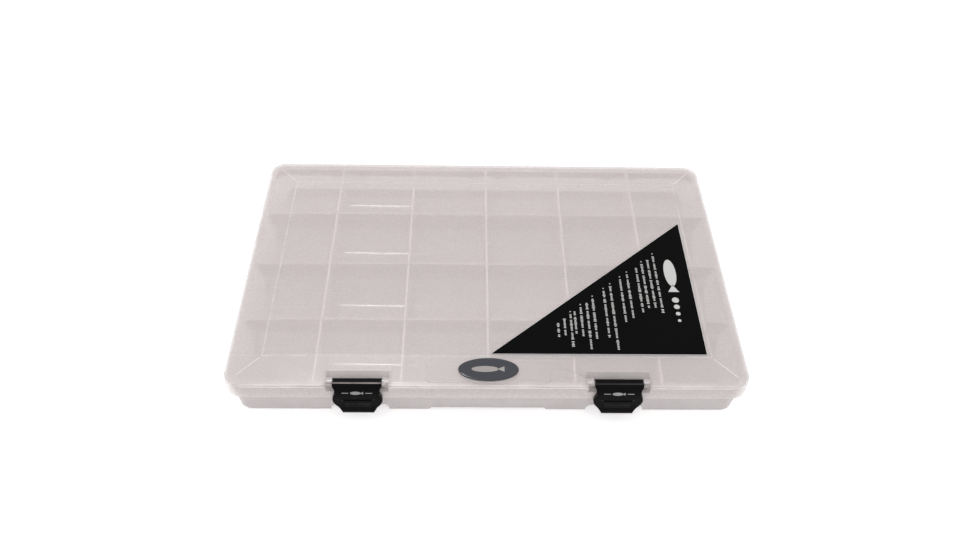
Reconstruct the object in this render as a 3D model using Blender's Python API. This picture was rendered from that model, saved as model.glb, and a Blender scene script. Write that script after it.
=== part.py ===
"""Flat fishing tackle box, modelled in Blender.

A base tray with four round-bottomed rows, twenty lift-out dividers, a hinged lid,
three hinge pins, two swinging latches on their pins, a corner label and an oval badge.
Units are metres. +Z is up, the front faces -Y, and the origin is the bottom centre.
"""
import math

import bmesh
import bpy
from mathutils import Vector

MM = 0.001

# Overall size and the height where lid and base part.
WIDTH = 356 * MM
DEPTH = 230 * MM
HEIGHT = 34 * MM
PARTING = 20 * MM

# Lid: a shell with a sloping shoulder round a raised centre panel.
LID_WALL = 1.7 * MM
LID_CORNER = 12.5 * MM
LID_RIM = 32.6 * MM
RIM_ROUND = 1.2 * MM
HIP_INSET = 7 * MM
HIP_CORNER = 1.5 * MM
HIP_HEIGHT = 32.8 * MM
PANEL_INSET_X = 23 * MM
PANEL_INSET_Y = 24.5 * MM
PANEL_CORNER = 2 * MM
PANEL_EDGE = 33.3 * MM
PANEL_STEP = 1 * MM
PANEL_RISE = 0.7 * MM
HEAD_ROOM = 0.6 * MM

# Thumb pad on the middle of the lid's front shoulder.
PAD_HALF_X = 42 * MM
PAD_HALF_Y = 8 * MM
PAD_Y = -103.5 * MM
PAD_CORNER = 3 * MM
PAD_FOOT = 31.9 * MM
PAD_TOP = 33.4 * MM

# Base tray: drafted walls, four rows with rounded floors, hollow under the rounding.
BASE_HEIGHT = 29.7 * MM
BASE_FOOT_X = 172.3 * MM
BASE_FOOT_Y = 111 * MM
BASE_DRAFT_X = 3.3 * MM
BASE_DRAFT_Y = 1.6 * MM
BASE_CORNER = 10 * MM
BASE_CHAMFER = 1.2 * MM
WALL = 2 * MM
FLOOR = 1.8 * MM
ROWS = 4
ROW_PITCH = 55 * MM
ROW_WIDTH = 53.4 * MM
ROW_ROUND = 20 * MM
GROOVE_TOP = 12 * MM
GROOVE_END = 2.3 * MM

# Notches in the tray's front wall: under each latch, and one long low one between them.
NOTCH_DEPTH = 9 * MM
FINGER_HALF = 20.5 * MM
FINGER_RISE = 7 * MM
MIDDLE_HALF = 39 * MM
MIDDLE_RISE = 3.3 * MM
POCKET_ROOM = 0.8 * MM

# Ledge that a latch's barb snaps under.
LEDGE_HALF = 14 * MM
LEDGE_FRONT = -113.6 * MM
LEDGE_PROFILE = (11.5 * MM, 12.6 * MM, 14 * MM, 16.5 * MM)

# Dividers and the rib pairs that hold them.
DIVIDER_PITCH = 59 * MM
DIVIDERS_PER_ROW = 5
DIVIDER_THICK = 1.3 * MM
RIB_WIDTH = 1 * MM
RIB_PROUD = 1 * MM
RIB_ROOT = 0.5 * MM
RIB_FOOT = 13 * MM
RIB_TOP = 29 * MM

# Hinge: three stations on the rear, each with its own pin.
HINGE_STATIONS = (-115 * MM, 0.0, 115 * MM)
HINGE_Y = 118.3 * MM
KNUCKLE_RADIUS = 2.5 * MM
LID_KNUCKLE = 14 * MM
BASE_KNUCKLE = 7.5 * MM
KNUCKLE_GAP = 0.4 * MM
HINGE_BORE_HALF = 20 * MM
PIN_RADIUS = 1 * MM
PIN_INSET = 0.2 * MM

# Latches: each hangs on a pin in a pocket of the lid's front edge.
LATCH_STATIONS = {"left": -88 * MM, "right": 88 * MM}
LATCH_Y = -109.6 * MM
LATCH_Z = 31.0 * MM
LATCH_WIDTH = 33 * MM
LATCH_BARREL = 2.2 * MM
LATCH_BORE = 1.4 * MM
LATCH_PIN = 1.1 * MM
POCKET_WIDTH = 42 * MM
POCKET_FLOOR = 26.8 * MM
POCKET_WALL = 1.5 * MM
POCKET_BACK = -101 * MM
POCKET_RAMP = 6 * MM
LUG_OUTLINE = ((-112.6, 26.5), (-104.4, 26.5), (-106.0, 30.8), (-107.8, 33), (-111.2, 33), (-112.6, 31.8))
LUG_GAP = 0.4 * MM
LATCH_PLATE = ((-112.4, 33.1), (-113.8, 32.5), (-114.9, 31.2), (-116.2, 29.2), (-117.2, 26.5),
               (-117.7, 22.5), (-118.0, 18.5), (-118.2, 15.5), (-118.9, 12.5), (-119.9, 10.9),
               (-119.9, 9.6), (-119.2, 8.6), (-118.0, 8.8))
LATCH_INSIDE = ((-117.2, 9.6), (-113.9, 10.2), (-113.9, 11.4), (-115.6, 12.6), (-115.6, 26.8),
                (-113.6, 29.6))
LATCH_FACE = ((0, 34), (0, 31.5), (-1.2, 30.2), (-1.5, 28.6), (-1.1, 26.5), (0, 23.4), (0.4, 21),
              (0.1, 19), (-1.2, 16.2), (-3.6, 13.5), (-5.4, 10.9), (-6.6, 8))
GRIP_HALF = 10.5 * MM
GRIP_FRONT = -117.2 * MM
GRIP_Z = (20.2 * MM, 21.8 * MM)

# Label and badge, both thin and stuck on.
LABEL_X = (1.3 * MM, 151.5 * MM)
LABEL_Y = (-88.4 * MM, 43.1 * MM)
LABEL_THICK = 0.2 * MM
BADGE_HALF = (20.5 * MM, 9.6 * MM)
BADGE_Y = -101.3 * MM
BADGE_RINGS = ((0.0, 33.7), (0.0, 34.1), (0.9, 34.5))
BADGE_SIDES = 40

GAP = 0.3 * MM
CLEAR = 0.5 * MM
ROUND_STEPS = 8

CLEAR_PLASTIC = ("clear_plastic", (0.80, 0.76, 0.75, 1.0), 0.35, 0.0)
DIVIDER_PLASTIC = ("divider_plastic", (0.84, 0.81, 0.80, 1.0), 0.3, 0.0)
BLACK_PLASTIC = ("black_plastic", (0.02, 0.02, 0.022, 1.0), 0.35, 0.0)
PIN_STEEL = ("pin_steel", (0.62, 0.62, 0.64, 1.0), 0.3, 1.0)
LABEL_FILM = ("label_film", (0.012, 0.012, 0.012, 1.0), 0.45, 0.0)
BADGE_GREY = ("badge_grey", (0.09, 0.09, 0.11, 1.0), 0.25, 0.0)


def clear_scene():
    """Remove every object that the scene starts with."""
    for obj in list(bpy.data.objects):
        bpy.data.objects.remove(obj, do_unlink=True)


def finish_material(spec):
    """Return the Principled material for a (name, colour, roughness, metallic) spec."""
    name, colour, roughness, metallic = spec
    found = bpy.data.materials.get(name)
    if found:
        return found
    made = bpy.data.materials.new(name)
    made.use_nodes = True
    shader = made.node_tree.nodes["Principled BSDF"]
    shader.inputs["Base Color"].default_value = colour
    shader.inputs["Roughness"].default_value = roughness
    shader.inputs["Metallic"].default_value = metallic
    return made


def new_object(name, bm):
    """Turn a bmesh into an object of that name, with its faces pointing out."""
    bmesh.ops.recalc_face_normals(bm, faces=bm.faces)
    mesh = bpy.data.meshes.new(name)
    bm.to_mesh(mesh)
    bm.free()
    obj = bpy.data.objects.new(name, mesh)
    bpy.context.scene.collection.objects.link(obj)
    return obj


def loft(name, rings):
    """Join rings of equal length side by side and cap the first and the last."""
    bm = bmesh.new()
    loops = [[bm.verts.new(point) for point in ring] for ring in rings]
    for low, high in zip(loops, loops[1:]):
        count = len(low)
        for i in range(count):
            j = (i + 1) % count
            bm.faces.new((low[i], low[j], high[j], high[i]))
    bm.faces.new(list(reversed(loops[0])))
    bm.faces.new(loops[-1])
    return new_object(name, bm)


def prism(name, outline, axis, low, high):
    """Extrude a 2-D outline along X, Y or Z between two places on that axis."""
    def place(u, v, w):
        return {"X": (w, u, v), "Y": (u, w, v), "Z": (u, v, w)}[axis]

    rings = [[place(u, v, w) for u, v in outline] for w in (low, high)]
    return loft(name, rings)


def box(name, x, y, z):
    """Make a box from its (low, high) pairs along X, Y and Z."""
    outline = [(x[0], y[0]), (x[1], y[0]), (x[1], y[1]), (x[0], y[1])]
    return prism(name, outline, "Z", z[0], z[1])


def rod(name, radius, x, y, z, sides=20):
    """Make a round rod along X between the two values of x."""
    turn = [2 * math.pi * i / sides for i in range(sides)]
    outline = [(y + radius * math.cos(a), z + radius * math.sin(a)) for a in turn]
    return prism(name, outline, "X", x[0], x[1])


def arc(centre_u, centre_v, radius, start, end, steps=ROUND_STEPS):
    """List the points of an arc from start to end, in degrees."""
    points = []
    for i in range(steps + 1):
        angle = math.radians(start + (end - start) * i / steps)
        points.append((centre_u + radius * math.cos(angle), centre_v + radius * math.sin(angle)))
    return points


def rounded_rectangle(half_x, half_y, radius, steps=ROUND_STEPS):
    """List the outline of a rectangle with round corners, centred on the origin."""
    points = []
    for sign_x, sign_y, start in ((1, 1, 0), (-1, 1, 90), (-1, -1, 180), (1, -1, 270)):
        corner = (sign_x * (half_x - radius), sign_y * (half_y - radius))
        points += arc(corner[0], corner[1], radius, start, start + 90, steps)
    return points


def ring(half_x, half_y, radius, z):
    """Place a rounded rectangle at a height."""
    return [(x, y, z) for x, y in rounded_rectangle(half_x, half_y, radius)]


def combine(target, tool, operation):
    """Apply an exact boolean to the target and remove the tool."""
    change = target.modifiers.new("combine", "BOOLEAN")
    change.solver = "EXACT"
    change.operation = operation
    change.object = tool
    bpy.context.view_layer.update()
    evaluated = target.evaluated_get(bpy.context.evaluated_depsgraph_get())
    result = bpy.data.meshes.new_from_object(evaluated)
    target.modifiers.clear()
    target.data = result
    bpy.data.objects.remove(tool, do_unlink=True)


def together(name, parts):
    """Join separate bodies into one tool object."""
    bm = bmesh.new()
    for part in parts:
        bm.from_mesh(part.data)
        bpy.data.objects.remove(part, do_unlink=True)
    return new_object(name, bm)


def set_origin(obj, x, y, z):
    """Move an object's origin without moving its mesh."""
    shift = Vector((x, y, z))
    for vertex in obj.data.vertices:
        vertex.co -= shift
    obj.location = shift


def dress(obj, spec, smooth_below=35):
    """Give an object its finish, and shade its round faces smooth."""
    obj.data.materials.clear()
    obj.data.materials.append(finish_material(spec))
    obj.data.shade_smooth()
    obj.data.set_sharp_from_angle(angle=math.radians(smooth_below))
    return obj


def row_centre(row):
    """Return the Y of a row's centre; row 0 is at the front."""
    return (row - (ROWS - 1) / 2) * ROW_PITCH


def divider_places():
    """List the X of each divider in a row, left to right."""
    middle = (DIVIDERS_PER_ROW - 1) / 2
    return [(i - middle) * DIVIDER_PITCH for i in range(DIVIDERS_PER_ROW)]


def base_half_x(z):
    """Return the tray's outer half width at a height; its walls lean outwards."""
    return BASE_FOOT_X + BASE_DRAFT_X * z / BASE_HEIGHT


def base_half_y(z):
    """Return the tray's outer half depth at a height."""
    return BASE_FOOT_Y + BASE_DRAFT_Y * z / BASE_HEIGHT


def head_rings():
    """List the rings of the tray's roof line, a little under the lid, from its edge inwards."""
    hip_x, hip_y = WIDTH / 2 - HIP_INSET - MM, DEPTH / 2 - HIP_INSET - MM
    panel_x, panel_y = WIDTH / 2 - PANEL_INSET_X, DEPTH / 2 - PANEL_INSET_Y
    under = LID_WALL + HEAD_ROOM
    step = PANEL_STEP + MM
    return [
        ring(hip_x, hip_y, 2 * MM, HIP_HEIGHT - under),
        ring(panel_x - step, panel_y - step, 1.5 * MM, PANEL_EDGE - under),
        ring(panel_x - 2 * step, panel_y - 2 * step, 1 * MM, HEIGHT - under),
    ]


def divider_top(y):
    """Return a divider's height at a place across the box, a little under the lid."""
    under = LID_WALL + HEAD_ROOM
    hip_y = DEPTH / 2 - HIP_INSET
    panel_y = DEPTH / 2 - PANEL_INSET_Y - 2 * PANEL_STEP
    if abs(y) <= panel_y - 2 * MM:
        return HEIGHT - under
    slope = (PANEL_EDGE - HIP_HEIGHT) / (hip_y - panel_y)
    return PANEL_EDGE - under - slope * (abs(y) - panel_y)


def row_outline(centre, inset, top):
    """Outline the space in a row: a round-bottomed channel, seen along X."""
    half = ROW_WIDTH / 2 - inset
    radius = ROW_ROUND - inset
    flat = ROW_WIDTH / 2 - ROW_ROUND
    middle = FLOOR + ROW_ROUND
    left = arc(centre - flat, middle, radius, 180, 270)
    right = arc(centre + flat, middle, radius, 270, 360)
    return [(centre - half, top)] + left + right + [(centre + half, top)]


def base_block():
    """Make the tray's outer form: drafted, with round corners and a chamfered foot."""
    foot = BASE_CHAMFER
    rings = [
        ring(base_half_x(0) - foot, base_half_y(0) - foot, BASE_CORNER - foot, 0.0),
        ring(base_half_x(foot), base_half_y(foot), BASE_CORNER, foot),
        ring(base_half_x(BASE_HEIGHT), base_half_y(BASE_HEIGHT), BASE_CORNER, BASE_HEIGHT),
    ]
    return loft("base_tray", rings + head_rings())


def row_cutters():
    """Make the space of the four rows, kept inside the drafted end walls."""
    top = BASE_HEIGHT + 5 * MM
    reach = base_half_x(top)
    rows = [prism("row", row_outline(row_centre(i), 0.0, top), "X", -reach, reach)
            for i in range(ROWS)]
    space = together("row_space", rows)
    inner_y = row_centre(ROWS - 1) + ROW_WIDTH / 2 - 0.1 * MM
    corner = BASE_CORNER - WALL
    low = ring(base_half_x(-MM) - WALL, inner_y, corner, -MM)
    high = ring(base_half_x(top + MM) - WALL, inner_y, corner, top + MM)
    combine(space, loft("inner_form", [low, high]), "INTERSECT")
    return space


def groove_outline(row, side):
    """Outline half a groove under one rounded side of a row, up to the groove's flat top."""
    flat = ROW_WIDTH / 2 - ROW_ROUND
    radius = ROW_ROUND + FLOOR
    end = math.degrees(math.acos((radius - GROOVE_TOP) / radius))
    centre = row_centre(row)
    points = arc(flat, radius, radius, 270, 270 + end)
    return [(centre + side * u, v) for u, v in points]


def groove_cutters():
    """Make the hollows under the rounded floors, open at the bottom."""
    reach = BASE_FOOT_X - GROOVE_END
    below = -MM
    cutters = []
    for row in range(ROWS - 1):
        left = groove_outline(row, 1)
        right = list(reversed(groove_outline(row + 1, -1)))
        outline = [(left[0][0], below)] + left + right + [(right[-1][0], below)]
        cutters.append(prism("groove", outline, "X", -reach, reach))
    edge = base_half_y(0) - GROOVE_END
    for row, side in ((0, -1), (ROWS - 1, 1)):
        curve = groove_outline(row, side)
        outline = [(curve[0][0], below)] + curve + [(side * edge, GROOVE_TOP), (side * edge, below)]
        cutters.append(prism("edge_groove", outline, "X", -reach, reach))
    hollow = together("grooves", cutters)
    corner = BASE_CORNER - GROOVE_END
    heights = (below - MM, GROOVE_TOP + MM)
    foot = loft("foot_form", [ring(reach - MM, edge - MM, corner - MM, z) for z in heights])
    combine(hollow, foot, "INTERSECT")
    return hollow


def front_cutouts():
    """Make the notches in the foot of the front wall, and those under the lid's pockets."""
    front = -DEPTH / 2
    inside = front + NOTCH_DEPTH
    cutters = []
    for centre in LATCH_STATIONS.values():
        half, rise = FINGER_HALF, FINGER_RISE
        outline = [(centre - half, -MM), (centre + half, -MM), (centre + half - 1 * MM, rise - 2 * MM),
                   (centre + half - 3 * MM, rise), (centre - half + 3 * MM, rise),
                   (centre - half + 1 * MM, rise - 2 * MM)]
        cutters.append(prism("finger_notch", outline, "Y", front - MM, inside))
        half = POCKET_WIDTH / 2 + POCKET_WALL + POCKET_ROOM
        low = POCKET_FLOOR - POCKET_WALL - CLEAR
        cutters.append(box("pocket_notch", (centre - half, centre + half),
                           (front - MM, inside), (low, BASE_HEIGHT + MM)))
    half, rise = MIDDLE_HALF, MIDDLE_RISE
    outline = [(-half - 3 * MM, -MM), (half + 3 * MM, -MM), (half, rise), (-half, rise)]
    cutters.append(prism("middle_notch", outline, "Y", front - MM, inside))
    return together("front_cutouts", cutters)


def slot_ribs():
    """Make the rib pairs on both walls of each row, where the dividers slide in."""
    ribs = []
    offset = DIVIDER_THICK / 2 + GAP + RIB_WIDTH / 2
    for row in range(ROWS):
        for side in (-1, 1):
            face = row_centre(row) + side * ROW_WIDTH / 2
            span = sorted((face + side * RIB_ROOT, face - side * RIB_PROUD))
            for place in divider_places():
                for sign in (-1, 1):
                    middle = place + sign * offset
                    ribs.append(box("rib", (middle - RIB_WIDTH / 2, middle + RIB_WIDTH / 2),
                                    span, (RIB_FOOT, RIB_TOP)))
    return together("ribs", ribs)


def hinge_bores():
    """Make the holes for the three hinge pins."""
    half = HINGE_BORE_HALF
    bores = [rod("bore", PIN_RADIUS + GAP, (station - half, station + half), HINGE_Y, PARTING)
             for station in HINGE_STATIONS]
    return together("bores", bores)


def base_hinge_knuckles():
    """Make the tray's six knuckles and the arms that carry them."""
    parts = []
    for station in HINGE_STATIONS:
        for side in (-1, 1):
            near = LID_KNUCKLE / 2 + KNUCKLE_GAP
            span = sorted((station + side * near, station + side * (near + BASE_KNUCKLE)))
            barrel = rod("knuckle", KNUCKLE_RADIUS, span, HINGE_Y, PARTING)
            arm = box("arm", span, (base_half_y(PARTING) - MM, HINGE_Y),
                      (PARTING - KNUCKLE_RADIUS, PARTING - 0.6 * MM))
            combine(barrel, arm, "UNION")
            parts.append(barrel)
    return together("base_knuckles", parts)


def latch_catches():
    """Make the ledge on the tray's front wall behind each latch."""
    ledges = []
    for centre in LATCH_STATIONS.values():
        places = (-base_half_y(BASE_HEIGHT / 2) + MM, LEDGE_FRONT, LEDGE_FRONT,
                  -base_half_y(BASE_HEIGHT / 2) + MM)
        outline = list(zip(places, LEDGE_PROFILE))
        ledges.append(prism("ledge", outline, "X", centre - LEDGE_HALF, centre + LEDGE_HALF))
    return together("ledges", ledges)


def build_base_tray():
    """Build the tray as one moulding."""
    tray = base_block()
    combine(tray, row_cutters(), "DIFFERENCE")
    combine(tray, groove_cutters(), "DIFFERENCE")
    combine(tray, front_cutouts(), "DIFFERENCE")
    combine(tray, slot_ribs(), "UNION")
    combine(tray, latch_catches(), "UNION")
    combine(tray, base_hinge_knuckles(), "UNION")
    combine(tray, hinge_bores(), "DIFFERENCE")
    return dress(tray, CLEAR_PLASTIC)


def divider_outline(row):
    """Outline a divider: the row's round foot, and a top that follows the lid."""
    outline = row_outline(row_centre(row), GAP, 0.0)
    (left, _), *foot, (right, _) = outline
    bend = DEPTH / 2 - PANEL_INSET_Y - 2 * PANEL_STEP
    tops = [(right, divider_top(right))]
    for y in (bend, bend - 2 * MM, 2 * MM - bend, -bend):
        if left < y < right:
            tops.append((y, divider_top(y)))
    return [*foot, *tops, (left, divider_top(left))]


def build_dividers():
    """Build the twenty dividers, each an upright plate with the row's round foot."""
    for row in range(ROWS):
        outline = divider_outline(row)
        for column, place in enumerate(divider_places()):
            name = f"divider_row{row + 1}_{column + 1}"
            low = place - DIVIDER_THICK / 2
            plate = prism(name, outline, "X", low, low + DIVIDER_THICK)
            dress(plate, DIVIDER_PLASTIC)


def lid_shell():
    """Make the lid's shell: skirt, rounded rim, sloping shoulder and raised panel."""
    half_x, half_y = WIDTH / 2, DEPTH / 2
    hip_x, hip_y = half_x - HIP_INSET, half_y - HIP_INSET
    panel_x, panel_y = half_x - PANEL_INSET_X, half_y - PANEL_INSET_Y
    inner_x, inner_y = half_x - LID_WALL, half_y - LID_WALL
    under = LID_WALL
    rise = PANEL_RISE
    rings = [
        ring(panel_x - 2 * PANEL_STEP, panel_y - 2 * PANEL_STEP, 1 * MM, HEIGHT - under),
        ring(panel_x - PANEL_STEP, panel_y - PANEL_STEP, 1.5 * MM, PANEL_EDGE - under),
        ring(hip_x - MM, hip_y - MM, 2 * MM, HIP_HEIGHT - under),
        ring(inner_x, inner_y, LID_CORNER - LID_WALL, LID_RIM - under - 0.3 * MM),
        ring(inner_x, inner_y, LID_CORNER - LID_WALL, PARTING),
        ring(half_x, half_y, LID_CORNER, PARTING),
        ring(half_x, half_y, LID_CORNER, LID_RIM - RIM_ROUND),
        ring(half_x - 0.35 * MM, half_y - 0.35 * MM, LID_CORNER - 0.35 * MM, LID_RIM - 0.35 * MM),
        ring(half_x - RIM_ROUND, half_y - RIM_ROUND, LID_CORNER - RIM_ROUND, LID_RIM),
        ring(hip_x, hip_y, HIP_CORNER, HIP_HEIGHT),
        ring(panel_x, panel_y, PANEL_CORNER, PANEL_EDGE),
        ring(panel_x - rise, panel_y - rise, PANEL_CORNER - rise / 2, HEIGHT - 0.1 * MM),
        ring(panel_x - 2 * rise, panel_y - 2 * rise, PANEL_CORNER - rise, HEIGHT),
    ]
    return loft("lid", rings)


def pocket_outline(ramp_shift, floor, top, front):
    """Outline a latch pocket seen along X: a floor with a ramp up to its back edge."""
    back = POCKET_BACK + ramp_shift
    return [(front, floor), (back - POCKET_RAMP, floor), (back, top), (front, top)]


def lid_pockets(lid):
    """Sink a pocket with two lugs into the lid's front edge for each latch."""
    for centre in LATCH_STATIONS.values():
        half = POCKET_WIDTH / 2
        shell = pocket_outline(1.6 * MM, POCKET_FLOOR - POCKET_WALL, PAD_FOOT, -DEPTH / 2 + 0.1 * MM)
        outer = half + POCKET_WALL
        combine(lid, prism("pocket_shell", shell, "X", centre - outer, centre + outer), "UNION")
        space = pocket_outline(0.0, POCKET_FLOOR, HEIGHT, -DEPTH / 2 - 5 * MM)
        combine(lid, prism("pocket_space", space, "X", centre - half, centre + half), "DIFFERENCE")
        lug = [(y * MM, z * MM) for y, z in LUG_OUTLINE]
        for side in (-1, 1):
            span = sorted((centre + side * (LATCH_WIDTH / 2 + LUG_GAP), centre + side * (half + PIN_INSET)))
            combine(lid, prism("lug", lug, "X", span[0], span[1]), "UNION")
        bore = half - PIN_INSET
        combine(lid, rod("bore", LATCH_BORE, (centre - bore, centre + bore), LATCH_Y, LATCH_Z),
                "DIFFERENCE")


def lid_hinge_knuckles(lid):
    """Add the lid's three knuckles behind its rear skirt."""
    for station in HINGE_STATIONS:
        span = (station - LID_KNUCKLE / 2, station + LID_KNUCKLE / 2)
        combine(lid, rod("knuckle", KNUCKLE_RADIUS, span, HINGE_Y, PARTING), "UNION")
        arm = box("arm", span, (DEPTH / 2 - MM, HINGE_Y),
                  (PARTING + 0.2 * MM, PARTING + KNUCKLE_RADIUS - 0.05 * MM))
        combine(lid, arm, "UNION")
    combine(lid, hinge_bores(), "DIFFERENCE")


def thumb_pad():
    """Make the flat raised pad on the middle of the lid's front shoulder."""
    outline = rounded_rectangle(PAD_HALF_X, PAD_HALF_Y, PAD_CORNER, 4)
    return prism("pad", [(x, y + PAD_Y) for x, y in outline], "Z", PAD_FOOT, PAD_TOP)


def build_lid():
    """Build the lid as one moulding, with its origin on the hinge axis."""
    lid = lid_shell()
    combine(lid, thumb_pad(), "UNION")
    lid_pockets(lid)
    lid_hinge_knuckles(lid)
    set_origin(lid, 0, HINGE_Y, PARTING)
    return dress(lid, CLEAR_PLASTIC)


def latch_profile():
    """Outline a latch seen along X: barrel, top web, front plate, pull lip and barb."""
    barrel = arc(LATCH_Y, LATCH_Z, LATCH_BARREL, -100, 90, 12)
    return barrel + [(y * MM, z * MM) for y, z in LATCH_PLATE + LATCH_INSIDE]


def latch_face(centre):
    """Outline a latch seen from the front: straight head, slight waist, tapered round foot."""
    right = [(LATCH_WIDTH / 2 + shift * MM, z * MM) for shift, z in LATCH_FACE]
    left = [(-x, z) for x, z in reversed(right)]
    return [(centre + x, z) for x, z in right + left]


def build_latch(side, centre):
    """Build one latch, with its origin on its pin's axis."""
    half = LATCH_WIDTH / 2 + 2 * MM
    latch = prism(f"latch_{side}", latch_profile(), "X", centre - half, centre + half)
    combine(latch, prism("face", latch_face(centre), "Y", -130 * MM, -100 * MM), "INTERSECT")
    combine(latch, rod("bore", LATCH_BORE, (centre - half, centre + half), LATCH_Y, LATCH_Z),
            "DIFFERENCE")
    grip = box("grip", (centre - GRIP_HALF, centre + GRIP_HALF), (-130 * MM, GRIP_FRONT), GRIP_Z)
    combine(latch, grip, "DIFFERENCE")
    set_origin(latch, centre, LATCH_Y, LATCH_Z)
    return dress(latch, BLACK_PLASTIC)


def build_pins():
    """Build the three hinge pins and the two latch pins."""
    names = ("hinge_pin_left", "hinge_pin_middle", "hinge_pin_right")
    half = LID_KNUCKLE / 2 + KNUCKLE_GAP + BASE_KNUCKLE - PIN_INSET
    for name, station in zip(names, HINGE_STATIONS):
        span = (station - half, station + half)
        dress(rod(name, PIN_RADIUS, span, HINGE_Y, PARTING, 16), PIN_STEEL)
    half = POCKET_WIDTH / 2 - 0.5 * MM
    for side, centre in LATCH_STATIONS.items():
        span = (centre - half, centre + half)
        dress(rod(f"latch_pin_{side}", LATCH_PIN, span, LATCH_Y, LATCH_Z, 16), PIN_STEEL)


def build_label():
    """Build the triangular label on the lid's panel."""
    outline = [(LABEL_X[0], LABEL_Y[0]), (LABEL_X[1], LABEL_Y[0]), (LABEL_X[1], LABEL_Y[1])]
    base = HEIGHT + GAP
    dress(prism("corner_label", outline, "Z", base, base + LABEL_THICK), LABEL_FILM)


def build_badge():
    """Build the oval badge, a low dome on the thumb pad."""
    rings = []
    last = 360 - 360 / BADGE_SIDES
    for inset, z in BADGE_RINGS:
        half_x, half_y = BADGE_HALF[0] - inset * MM, BADGE_HALF[1] - inset * MM
        rings.append([(half_x * u, half_y * v + BADGE_Y, z * MM)
                      for u, v in arc(0, 0, 1, 0, last, BADGE_SIDES - 1)])
    dress(loft("oval_badge", rings), BADGE_GREY)


def main():
    """Build the whole box."""
    clear_scene()
    build_base_tray()
    build_dividers()
    build_lid()
    for side, centre in LATCH_STATIONS.items():
        build_latch(side, centre)
    build_pins()
    build_label()
    build_badge()


main()
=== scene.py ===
"""Looks of a flat fishing tackle box: frosted plastic, black latches, label and badge.

Each sub-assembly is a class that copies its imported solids, rounds and details them, and
dresses them. Sizes are in metres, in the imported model's own frame.
"""
import logging
import math
import random
from dataclasses import dataclass, field
from enum import Enum

import bmesh
import bpy
from mathutils import Matrix, Vector


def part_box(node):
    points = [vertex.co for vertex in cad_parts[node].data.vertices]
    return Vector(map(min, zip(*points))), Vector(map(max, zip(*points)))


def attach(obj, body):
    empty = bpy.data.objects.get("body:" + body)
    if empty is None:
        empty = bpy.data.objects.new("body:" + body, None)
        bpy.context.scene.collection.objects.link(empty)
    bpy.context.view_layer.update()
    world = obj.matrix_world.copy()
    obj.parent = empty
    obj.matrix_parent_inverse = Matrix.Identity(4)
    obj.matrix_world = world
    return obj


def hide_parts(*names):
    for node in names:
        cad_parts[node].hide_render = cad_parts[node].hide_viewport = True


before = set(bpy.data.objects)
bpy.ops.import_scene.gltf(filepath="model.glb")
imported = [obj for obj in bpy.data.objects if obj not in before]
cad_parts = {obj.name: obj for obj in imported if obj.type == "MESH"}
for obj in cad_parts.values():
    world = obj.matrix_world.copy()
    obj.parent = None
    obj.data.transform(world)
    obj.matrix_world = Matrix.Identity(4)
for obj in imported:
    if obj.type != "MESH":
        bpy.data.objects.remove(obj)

MM = 0.001
LOG = logging.getLogger("tackle_box")
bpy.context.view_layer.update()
Rgb = tuple[float, float, float]
Triple = tuple[float, float, float]

# The name of the per-corner value that says how lightened a face is, from 0 to 1: scuffing, and
# on some faces painted highlight and painted light.
WEAR_AND_HIGHLIGHT = "wear_and_highlight"
# Vertices closer than this are one, in metres.
MERGE = 1e-6
# Faces that turn less than this are one flat face, in degrees.
FLAT_TURN = 0.6
# Faces that turn more than this meet in a crisp edge, in degrees.
CRISP_TURN = 38.0
# An edge shorter than this many roundings has no room for one.
ROUNDING_ROOM = 2.6
# The least cosine between an edge and the axis that it runs along.
PARALLEL = 0.999


# ------------------------------------------------------------------ finishes


class Grain(Enum):
    """The named surface textures that a finish can have."""

    FROSTED = "frosted"
    LEATHERY = "leathery"
    DRAWN = "drawn"
    PRINTED = "printed"
    POLISHED = "polished"


@dataclass(frozen=True)
class Pattern:
    """A noise pattern: its cycles a metre and its number of finer octaves."""

    scale: float
    detail: float


EVEN = (1.0, 1.0, 1.0)
# How far a grain's pattern is stretched along X, Y and Z, where it isn't even.
STRETCH = {Grain.DRAWN: (0.05, 1.0, 1.0)}
FINE_DETAIL = 2.0
CLOUDS = Pattern(11.0, 5.0)
WAVES = Pattern(42.0, 1.0)
PATCHES = Pattern(70.0, 3.0)
HAIRS = Pattern(1.0, 1.0)
# Where the clouds turn from the shade to the colour.
CLOUD_BAND = (0.32, 0.68)
# The patches' values, and how much of the scuffing and painted highlight shows at each end.
PATCH_BAND = (0.3, 0.6, 0.45, 1.0)
# The fine grain's values that give the least and the most roughness.
GLOSS_BAND = (0.25, 0.75)
# The scuffs: how each set is turned and stretched, and where a hair begins and ends.
SCUFF_SETS = ((0.35, (9.0, 420.0, 60.0)), (-1.1, (7.0, 360.0, 60.0)))
SCUFF_BAND = (0.70, 0.76, 0.0, 1.0)
WAVE_SHARE = 0.6
BUMP_DEPTH = 0.1 * MM


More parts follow.
